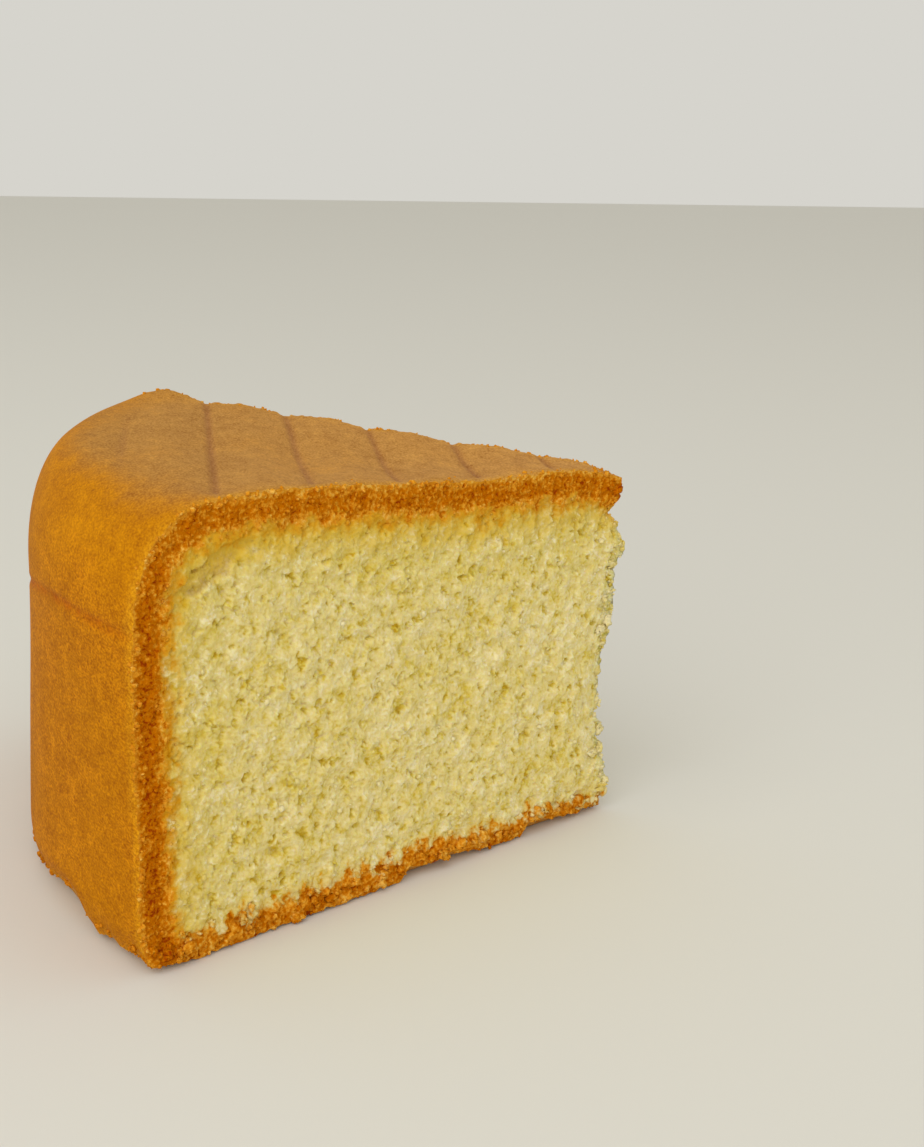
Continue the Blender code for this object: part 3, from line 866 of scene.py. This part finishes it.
def crumb_tree():
    """Lifts lumps and grains along a given way, opens hollows, and stores how high each point is."""
    tree, given = new_tree("crumb relief", dict(LUMPS, Away=(0.0, 0.0, 0.0)))
    place = scaled(tree, add(tree, "GeometryNodeInputPosition"), 1 / MM)
    bend = wander(tree, place, BENDS_PER_MM)
    bent = add(tree, "ShaderNodeVectorMath", {0: bend, 1: BEND_REACH, 2: place}, operation="MULTIPLY_ADD")
    lump_scale, grain_scale, hollow_scale = (
        maths(tree, "DIVIDE", 1.0, given[name]) for name in ("Lump size", "Grain size", "Hollow size"))
    lump = span(tree, noise_of(tree, bent, lump_scale, detail=4.0, roughness=0.6), 0.25, 0.75)
    grain = add(tree, "ShaderNodeTexVoronoi", {"Vector": bent, "Scale": grain_scale})
    grain = span(tree, grain, 0.8, 0.1)
    hollow = span(tree, noise_of(tree, bent, hollow_scale), 0.45, 0.3, kind="SMOOTHSTEP")

    depth, above, edge, hidden = (add(tree, "GeometryNodeInputNamedAttribute", {"Name": name})
                                  for name in ("depth", "height", EDGE, HIDDEN))
    rim = maths(tree, "SUBTRACT", given["Rim depth"], RIM_BLEND)
    lump_share = span(tree, depth, rim, given["Rim depth"], RIM_LUMPS, 1.0)
    grain_share = span(tree, depth, rim, given["Rim depth"], RIM_GRAINS, 1.0)
    foot = span(tree, above, given["Foot height"], FOOT_BLEND_END, 0.0, FOOT_LUMPS)
    lump_share = maths(tree, "ADD", lump_share, foot)
    lump_height = times(tree, given["Lump height"], lump_share)
    grain_height = times(tree, given["Grain height"], grain_share)
    height = weigh(tree, 0.0, ((lump, lump_height), (grain, grain_height)))
    deep = times(tree, times(tree, hollow, given["Hollow depth"]), lump_share)
    height = maths(tree, "SUBTRACT", height, deep)

    most = maths(tree, "ADD", given["Lump height"], given["Grain height"])
    rise = weigh(tree, height, ((most, -MEAN_RELIEF),))
    rise = times(tree, rise, span(tree, edge, 0.0, EDGE_FADE))
    move = scaled(tree, given["Away"], times(tree, rise, MM))
    seen = add(tree, "FunctionNodeCompare", {0: hidden, 1: 0.5}, operation="LESS_THAN")
    made = add(tree, "GeometryNodeSetPosition",
               {"Geometry": given["Geometry"], "Selection": seen, "Offset": move})
    share = maths(tree, "DIVIDE", height, most)
    for name, value in (("relief", share), ("hollow", hollow)):
        made = add(tree, "GeometryNodeStoreNamedAttribute", {"Geometry": made, "Name": name, "Value": value},
                   data_type="FLOAT", domain="POINT")
    tree.links.new(made, tree.nodes.new("NodeGroupOutput").inputs[0])
    return tree


relief = crumb_tree()
for piece, turn in ((front_crumb, FRONT), (back_crumb, BACK)):
    run_tree(piece, relief, dict(LUMPS, Away=tuple(cut_normal(turn))))

# %% [markdown]
# ## Loose crumbs, scattered
#
# A knife leaves crumbs all over a cut, and most of them along its edges. They are far too many to
# place by hand. The second tree strews points over a face as thickly as the face's own attribute
# says, and puts a small lump on each, turned, stretched and sized at random. The lumps keep the
# attributes of the place where they lie, so they take on its colour.

# %% The tree that scatters crumbs
FINE_CRUMBS = {"Where": SCATTER, "Per square mm": 0.7, "Smallest": 0.3, "Largest": 0.95, "Detail": 2}
SOFT_CLUMPS = {"Where": CLUMPS, "Per square mm": 1.0, "Smallest": 0.9, "Largest": 2.6, "Detail": 3}
CRUMB_BENDS = 2.4
CRUMB_BEND_REACH = 1.1
FULL_TURN = (6.3, 6.3, 6.3)
LEAST_STRETCH = (0.6, 0.6, 0.6)
MOST_STRETCH = (1.3, 1.3, 1.3)
LARGE_RARITY = 2.5
LEAST_FLAKE = 0.05


def scatter_tree():
    """Strews small lumps over a face. Large ones are rare, and each has a flake value over 0."""
    tree, given = new_tree("scattered crumbs", dict(FINE_CRUMBS, Seed=0, Finish=None))
    share = add(tree, "GeometryNodeInputNamedAttribute", {"Name": given["Where"]})
    dense = times(tree, times(tree, share, given["Per square mm"]), MM ** -2)
    points = add(tree, "GeometryNodeDistributePointsOnFaces",
                 {"Mesh": given["Geometry"], "Density": dense, "Seed": given["Seed"]})

    lump = add(tree, "GeometryNodeMeshIcoSphere", {"Radius": 0.5, "Subdivisions": given["Detail"]})
    bend = scaled(tree, wander(tree, add(tree, "GeometryNodeInputPosition"), CRUMB_BENDS), CRUMB_BEND_REACH)
    lump = add(tree, "GeometryNodeSetPosition", {"Geometry": lump, "Offset": bend})
    lump = add(tree, "GeometryNodeSetShadeSmooth", {"Geometry": lump})

    turn = add(tree, "FunctionNodeRandomValue", {0: (0.0, 0.0, 0.0), 1: FULL_TURN, "Seed": 1},
               data_type="FLOAT_VECTOR")
    luck = add(tree, "FunctionNodeRandomValue", {2: 0.0, 3: 1.0, "Seed": 2}, out=1, data_type="FLOAT")
    luck = maths(tree, "POWER", luck, LARGE_RARITY)
    size = times(tree, span(tree, luck, 0.0, 1.0, given["Smallest"], given["Largest"]), MM)
    stretch = add(tree, "FunctionNodeRandomValue", {0: LEAST_STRETCH, 1: MOST_STRETCH, "Seed": 3},
                  data_type="FLOAT_VECTOR")
    lumps = add(tree, "GeometryNodeInstanceOnPoints",
                {"Points": points, "Instance": lump, "Rotation": turn, "Scale": scaled(tree, stretch, size)})
    flake = add(tree, "FunctionNodeRandomValue", {2: LEAST_FLAKE, 3: 1.0, "Seed": 4}, out=1,
                data_type="FLOAT")
    lumps = add(tree, "GeometryNodeStoreNamedAttribute",
                {"Geometry": lumps, "Name": "flake", "Value": flake}, data_type="FLOAT", domain="INSTANCE")
    lumps = add(tree, "GeometryNodeRealizeInstances", {"Geometry": lumps})
    lumps = add(tree, "GeometryNodeSetMaterial", {"Geometry": lumps, "Material": given["Finish"]})
    tree.links.new(lumps, tree.nodes.new("NodeGroupOutput").inputs[0])
    return tree


strew = scatter_tree()
print("the tree that scatters has", len(strew.nodes), "nodes")

# %% [markdown]
# ## The crumb's finish
#
# Sponge crumb is egg and flour foam: matt, and a little translucent, so light that enters it comes
# out warmer and softens its shadows. Over a random tone, its high crumbs are painted creamy as
# painted light and its hollows deep yellow as painted shade. Near the skin it is toasted through to a
# granular brown, five to six millimetres deep, with painted highlights on its high grains and painted
# shade in its gaps, and between the two a yellow orange seam has taken up butter and sugar. Along the
# base the same brown is thinner, and thinnest at the tip. Real foam is finer than the finest pattern
# here, which is drawn at half a millimetre, as coarse as it needs to show.

# %% Finish of the crumb
# Painted light and shade: cream on high crumbs, deep yellow in hollows
CRUMB_DEEP_SHADE = "#c6a228"
CRUMB_YELLOW = "#d8c058"
CRUMB_BODY = "#e4d28c"
CRUMB_CREAM_HIGHLIGHT = "#eddfae"
TORN_HOLLOW_SHADE = "#b68e2c"
SEAM_YELLOW = "#d8b032"
SEAM = "#d08e06"
TOAST_DARK_GAP_SHADE = "#963900"
TOAST = "#c06c00"
TOAST_LIGHT = "#de9626"
TOAST_PALE_HIGHLIGHT = "#eab450"

CRUMB_PATTERNS = {"patches": 11.0, "lumps": 4.0, "crumbs": 2.0, "grains": 0.55}
STREAK_SIZE = 2.2
STREAK_SQUASH = (1.0, 1.0, 0.3)
PINHOLE_SPACING = 1.3
TOAST_GRAIN_SIZE = 0.7
TIP_SPAN = (12.0, 48.0)
THINNER_AT_TIP = 2.6
WARM_SPAN = (20.0, 7.0)
BAND_DEPTHS = ((4.6, 6.0), (5.6, 8.0), (7.0, 12.5))
FOOT_HEIGHTS = ((3.6, 5.2), (4.0, 6.0), (5.0, 8.5))
BAND_CORE = 2.6
UPPER_SPAN = (50.0, 66.0)


def new_finish(name, attributes):
    """A material, its tree and shader, the place in millimetres, and the attributes it reads."""
    finish = bpy.data.materials.new(name)
    finish.use_nodes = True
    tree = finish.node_tree
    place = scaled(tree, add(tree, "ShaderNodeTexCoord", out="Object"), 1 / MM)
    read = {attribute: add(tree, "ShaderNodeAttribute", out="Fac", attribute_name=attribute)
            for attribute in attributes}
    return finish, tree, tree.nodes["Principled BSDF"], place, read


def sponge_finish():
    reads = ("depth", "height", "relief", "hollow", "flap", "flake")
    finish, tree, shader, place, read = new_finish("sponge crumb", reads)
    near_tip = span(tree, add(tree, "ShaderNodeSeparateXYZ", {0: place}), *TIP_SPAN)
    read["foot"] = weigh(tree, read["height"], ((near_tip, THINNER_AT_TIP),))
    patches, lumps, crumbs, grains = (noise_of(tree, place, 1 / size) for size in CRUMB_PATTERNS.values())
    upright = add(tree, "ShaderNodeVectorMath", {0: place, 1: STREAK_SQUASH}, operation="MULTIPLY")
    streaks = noise_of(tree, upright, 1 / STREAK_SIZE)
    pinholes = add(tree, "ShaderNodeTexVoronoi", {"Vector": place, "Scale": 1 / PINHOLE_SPACING})
    pinholes = span(tree, pinholes, 0.26, 0.1)

    # The crumb: its tone rises from hollows to high crumbs over random patches, with painted shade in hollows
    # and pinholes and painted light on high and loose crumbs
    tone = weigh(tree, -1.99, ((read["relief"], 0.85), (patches, 0.7), (crumbs, 1.35), (grains, 1.15),
                               (read["flake"], 0.3), (read["hollow"], -0.35), (pinholes, -0.25),
                               (near_tip, 0.05)))
    warm = span(tree, read["depth"], *WARM_SPAN, 0.0, 0.5)
    colour = cover(tree, warm, linear(CRUMB_BODY), linear(CRUMB_YELLOW))
    for start, end, paint in ((0.1, 0.45, CRUMB_CREAM_HIGHLIGHT), (0.0, -0.4, CRUMB_YELLOW), (-0.4, -0.9, CRUMB_DEEP_SHADE)):
        colour = cover(tree, span(tree, tone, start, end), colour, linear(paint))
    bare = maths(tree, "LESS_THAN", read["flake"], 0.01)
    # Painted shade: olive patches in the torn hollow at the front cut's corner
    flap = times(tree, times(tree, read["flap"], bare), span(tree, crumbs, 0.42, 0.58, 0.05, 0.65))
    colour = cover(tree, flap, colour, linear(TORN_HOLLOW_SHADE))

    # The bands: how deep each one reaches, under the skin and over the base, with a ragged edge
    warp = weigh(tree, -6.6, ((lumps, 3.6), (crumbs, 3.6), (streaks, 4.0), (grains, 2.0)))
    shares = []
    for spans, name, most in ((BAND_DEPTHS, "depth", 1.0), (FOOT_HEIGHTS, "foot", 1.5)):
        reach = weigh(tree, read[name], ((warp, most),))
        shares.append([span(tree, reach, end, start, kind="SMOOTHSTEP") for start, end in spans])
    toast, seam, yellow = (maths(tree, "MAXIMUM", side, foot) for side, foot in zip(*shares))

    # The toasted crumb: dark in the middle of its band, lighter right under the skin, with painted highlights
    # on high grains and painted shade in the gaps between them
    fine = noise_of(tree, place, 1 / TOAST_GRAIN_SIZE, detail=3.0, roughness=0.6)
    upper = span(tree, read["height"], *UPPER_SPAN)
    core = maths(tree, "ABSOLUTE", maths(tree, "SUBTRACT", read["depth"], BAND_CORE))
    core = span(tree, core, BAND_CORE, 0.6, kind="SMOOTHSTEP")
    grain = span(tree, read["height"], 6.0, 2.0, -1.9, -2.26)
    grain = weigh(tree, grain, ((fine, 2.3), (lumps, 0.75), (grains, 0.95), (read["relief"], 0.8),
                                (read["flake"], 0.15), (core, -0.45), (upper, 0.12)))
    crust = linear(TOAST)
    # Painted light and shade: high grains and loose crumbs go pale, low grains dark
    for start, end, paint in ((-0.1, -0.5, TOAST_DARK_GAP_SHADE), (0.1, 0.5, TOAST_LIGHT), (0.6, 0.8, TOAST_PALE_HIGHLIGHT)):
        crust = cover(tree, span(tree, grain, start, end), crust, linear(paint))
    outer = span(tree, weigh(tree, read["depth"], ((fine, 2.0),)), 1.6, 0.8, 0.0, 0.5)
    crust = cover(tree, outer, crust, linear(TOAST_LIGHT))

    most_yellow = weigh(tree, 0.35, ((upper, 0.5),))
    most_seam = weigh(tree, 0.9, ((upper, -0.15),))
    for share, most, paint in ((yellow, most_yellow, linear(SEAM_YELLOW)), (seam, most_seam, linear(SEAM)),
                               (toast, 1.0, crust)):
        colour = cover(tree, times(tree, share, most), colour, paint)

    # Light sinks deep into pale crumb, and little into toasted crumb and loose crumbs
    soft = times(tree, span(tree, yellow, 1.0, 0.0, 0.1, 0.7), span(tree, bare, 0.0, 1.0, 0.2, 1.0))
    bump = add(tree, "ShaderNodeBump", {"Strength": 0.6, "Distance": 0.3 * MM, "Height": grains},
               out="Normal")
    feed(tree, shader, {"Base Color": colour, "Roughness": 0.9, "Specular IOR Level": 0.03, "Normal": bump,
                        "Subsurface Weight": soft, "Subsurface Radius": (1.0, 0.8, 0.35),
                        "Subsurface Scale": 1.8 * MM})
    return finish


crumb_finish = sponge_finish()
print(crumb_finish.name, "has", len(crumb_finish.node_tree.nodes), "nodes")

# %% [markdown]
# ## The skin's finish
#
# The skin is foam that dried and browned against hot air and metal. It is matt with a sandy grain,
# dull tan on the top and paler towards the tip, golden over the shoulder and more orange on the
# side. Real grain is finer than a picture can hold, so it is drawn at a third of a millimetre, as
# coarse as it needs to show. Grooves and crease are browner, and a few pores are dark.

# %% Finish of the skin
TOP_TAN = "#b5813a"
TOP_PALE = "#c38c45"
SHOULDER_GOLD = "#bc7600"
SIDE_ORANGE = "#b66e04"
SIDE_DARK = "#9c5000"
GROOVE_BROWN = "#a06a38"
CREASE_ORANGE = "#aa5800"
EDGE_GOLD = "#dc9c1c"
PORE_BROWN = "#8a4a06"
GRAIN_SHADE = (0.66, 0.52, 0.3, 1.0)
GRAIN_LIGHT = (1.38, 1.52, 1.75, 1.0)

SKIN_PATTERNS = {"clouds": 15.0, "blots": 4.0, "spots": 1.6, "flecks": 0.9, "sand": 0.35}
SKIN_SQUASH = (1.0, 0.55, 1.0)
PALE_SPAN = (-40.0, 45.0)
PORE_SPACING = 2.4
PORE_SHARE = 0.3


def skin_finish():
    reads = ("side", "groove", "crease", EDGE)
    finish, tree, shader, place, read = new_finish("baked sponge skin", reads)
    pale = span(tree, add(tree, "ShaderNodeSeparateXYZ", {0: place}), *PALE_SPAN)
    laid = add(tree, "ShaderNodeVectorMath", {0: place, 1: SKIN_SQUASH}, operation="MULTIPLY")
    clouds, blots, spots, flecks, sand = (noise_of(tree, laid, 1 / size) for size in SKIN_PATTERNS.values())

    # From tan over gold to orange, with a ragged border
    zone = weigh(tree, -0.42, ((read["side"], 1.6), (clouds, 0.65), (blots, 0.4), (spots, 0.3)))
    gold = span(tree, zone, 0.1, 1.1, kind="SMOOTHSTEP")
    orange = span(tree, zone, 1.6, 2.05, kind="SMOOTHSTEP")
    dark = times(tree, span(tree, flecks, 0.46, 0.3, 0.0, 0.5), orange)

    rim = weigh(tree, read[EDGE], ((blots, 4.0), (flecks, 3.0)))
    rim = span(tree, rim, 6.6, 3.2, kind="SMOOTHSTEP")
    most_gold = weigh(tree, 0.25, ((read["side"], 0.15),))
    crease = times(tree, span(tree, spots, 0.35, 0.65, 0.3, 1.5), read["crease"])
    colour = linear(TOP_TAN)
    for share, most, paint in ((pale, 1.0, TOP_PALE), (gold, 1.0, SHOULDER_GOLD), (orange, 1.0, SIDE_ORANGE),
                               (dark, 1.0, SIDE_DARK), (read["groove"], 0.75, GROOVE_BROWN),
                               (crease, 0.7, CREASE_ORANGE), (rim, most_gold, EDGE_GOLD)):
        colour = cover(tree, times(tree, share, most), colour, linear(paint))

    # The sandy grain darkens and lightens, more so on the side
    grain = weigh(tree, 0.0, ((sand, 0.52), (spots, 0.24), (blots, 0.2), (clouds, 0.1)))
    grain = maths(tree, "SUBTRACT", grain, 0.53)
    contrast = weigh(tree, 2.6, ((orange, 2.2),))
    grain = weigh(tree, 0.5, ((grain, contrast),))
    tint = cover(tree, grain, GRAIN_SHADE, GRAIN_LIGHT)
    colour = cover(tree, 1.0, colour, tint, kind="MULTIPLY")

    pore = add(tree, "ShaderNodeTexVoronoi", {"Vector": place, "Scale": 1 / PORE_SPACING})
    number = add(tree, "ShaderNodeSeparateXYZ", {0: pore.node.outputs["Color"]})
    chosen = maths(tree, "LESS_THAN", number, PORE_SHARE)
    pore = times(tree, span(tree, pore, 0.16, 0.06, 0.0, 0.6), chosen)
    colour = cover(tree, pore, colour, linear(PORE_BROWN))
    bump = weigh(tree, sand, ((pore, -1.0),))
    bump = add(tree, "ShaderNodeBump", {"Strength": 0.4, "Distance": 0.06 * MM, "Height": bump}, out="Normal")
    feed(tree, shader, {"Base Color": colour, "Roughness": 0.65, "Specular IOR Level": 0.04, "Normal": bump})
    return finish


crust_finish = skin_finish()
print(crust_finish.name, "has", len(crust_finish.node_tree.nodes), "nodes")

# %% [markdown]
# ## Dressing and strewing
#
# The skin and the base wear the browned finish, and the cuts wear the crumb's. Fine crumbs and soft
# clumps are then strewn on the cuts and along the edges of the skin. Every piece rides on the one
# body and stands in for its solid.

# %% Dress the pieces and strew the crumbs
pieces = [skin, base, front_crumb, back_crumb]
for piece, finish in zip(pieces, (crust_finish, crust_finish, crumb_finish, crumb_finish)):
    piece.data.materials.clear()
    piece.data.materials.append(finish)

for piece, name, kind, seed in ((skin, "edge_crumbs", FINE_CRUMBS, 2), (skin, "foot_clumps", SOFT_CLUMPS, 3),
                                (front_crumb, "front_loose_crumbs", FINE_CRUMBS, 0),
                                (front_crumb, "front_torn_clumps", SOFT_CLUMPS, 0),
                                (back_crumb, "back_loose_crumbs", FINE_CRUMBS, 1),
                                (back_crumb, "back_torn_clumps", SOFT_CLUMPS, 1)):
    pieces.append(run_tree(piece, strew, dict(kind, Seed=seed, Finish=crumb_finish), name))

for piece in pieces:
    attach(piece, BODY)
    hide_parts(NODE)

# %% [markdown]
# ## Floor and light
#
# The light is soft and comes from the upper left, in front. A bright even room fills the shadows.
# The floor is matt white board, which shows no glints and throws a little light back up.

# %% Floor, window and room
FLOOR_SIZE = 4.0
FLOOR_WHITE = "#dedcd4"
ROOM_WHITE = "#d6d4cd"
WINDOW_PLACE = (-0.5, -0.9, 0.75)
WINDOW_SIZE = 1.6
WINDOW_POWER = 11.0

bpy.ops.mesh.primitive_plane_add(size=FLOOR_SIZE)
floor = bpy.context.object
floor.name = "floor"
floor_finish = bpy.data.materials.new("matt white board")
floor_finish.use_nodes = True
board = floor_finish.node_tree
feed(board, board.nodes["Principled BSDF"], {"Base Color": linear(FLOOR_WHITE), "Roughness": 0.9})
floor.data.materials.append(floor_finish)

window = bpy.data.objects.new("window", bpy.data.lights.new("window", "AREA"))
window.data.energy = WINDOW_POWER
window.data.size = WINDOW_SIZE
window.location = WINDOW_PLACE
window.rotation_euler = (-window.location).to_track_quat("-Z", "Y").to_euler()
scene.collection.objects.link(window)
world = bpy.data.worlds.new("room")
world.use_nodes = True
world.node_tree.nodes["Background"].inputs["Color"].default_value = linear(ROOM_WHITE)
scene.world = world
scene.view_settings.view_transform = "Standard"
print("the window is", round(window.location.length, 2), "m from the cake")
